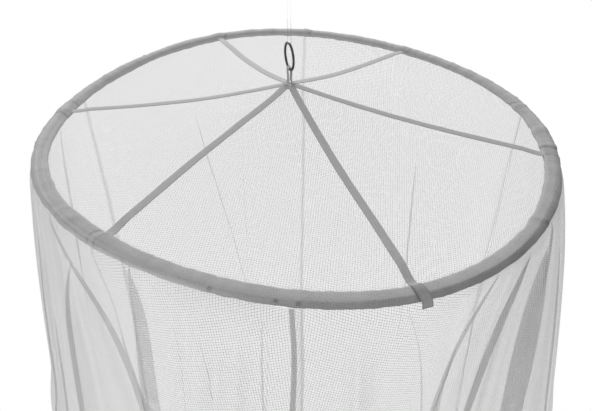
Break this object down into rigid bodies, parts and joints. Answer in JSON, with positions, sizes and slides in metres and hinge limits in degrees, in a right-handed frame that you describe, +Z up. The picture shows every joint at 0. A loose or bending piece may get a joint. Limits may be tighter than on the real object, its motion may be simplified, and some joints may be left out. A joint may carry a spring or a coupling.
{
  "type": "hooped mosquito net canopy with net skirt",
  "caption": "Round mosquito net: a shallow net cone with sewn tapes over a cloth-covered hoop, and a long flared net skirt with a front opening, hung from a ring and thread.",
  "frame": {"origin": "The hanging point: the top inside of the eye above the thread. The hoop's centre is 190 mm below it and 10 mm to +X.", "axes": "+Z up, +X to the right seen from the front, and the front with the door opening faces -Y."},
  "size_m": [1.2331, 1.2104, 2.3551],
  "materials": {
    "net": "open knitted mesh, white, matt",
    "cap_net": "open knitted mesh, white, matt",
    "casing_cloth": "folded cloth sleeve, white, matt",
    "tape": "woven tape, white, matt",
    "steel": "dark bright steel wire",
    "rod": "plain wire",
    "clear_thread": "clear nylon line"
  },
  "bodies": {
    "root": {"hoop": "rod", "casing": "casing_cloth", "cap": "cap_net", "tape_1": "tape", "tape_2": "tape", "tape_3": "tape", "tape_4": "tape", "tape_5": "tape", "tape_6": "tape", "hanging_loop": "tape", "ring": "steel", "thread": "clear_thread", "thread_knot": "clear_thread", "skirt_left": "net", "skirt_back_left": "net", "skirt_back_right": "net", "skirt_right": "net", "skirt_front_left": "net", "skirt_front_right": "net"}
  },
  "joints": []
}
